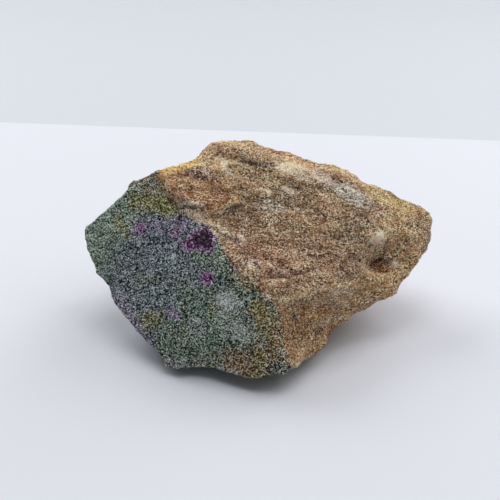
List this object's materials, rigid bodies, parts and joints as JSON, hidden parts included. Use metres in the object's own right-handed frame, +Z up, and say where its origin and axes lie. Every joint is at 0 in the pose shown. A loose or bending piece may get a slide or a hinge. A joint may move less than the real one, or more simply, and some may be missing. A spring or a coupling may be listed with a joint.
{
  "type": "mineral specimen",
  "caption": "Rough hand-sized lump of green fuchsite rock with small magenta ruby spots and a weathered brown crust, resting on its flat underside.",
  "frame": {"origin": "middle of the stone's bounding box, on the plane of its flat foot", "axes": "+X along the stone's length towards its narrow brown end, +Y away from the green face, +Z up"},
  "size_m": [0.1278, 0.0758, 0.0633],
  "materials": {
    "fuchsite_rock": "rough broken rock: fine green and grey mica grains with magenta ruby spots on the broken faces, streaky brown weathered schist on the crust"
  },
  "bodies": {
    "root": {"ruby_in_fuchsite": "fuchsite_rock"}
  },
  "joints": []
}
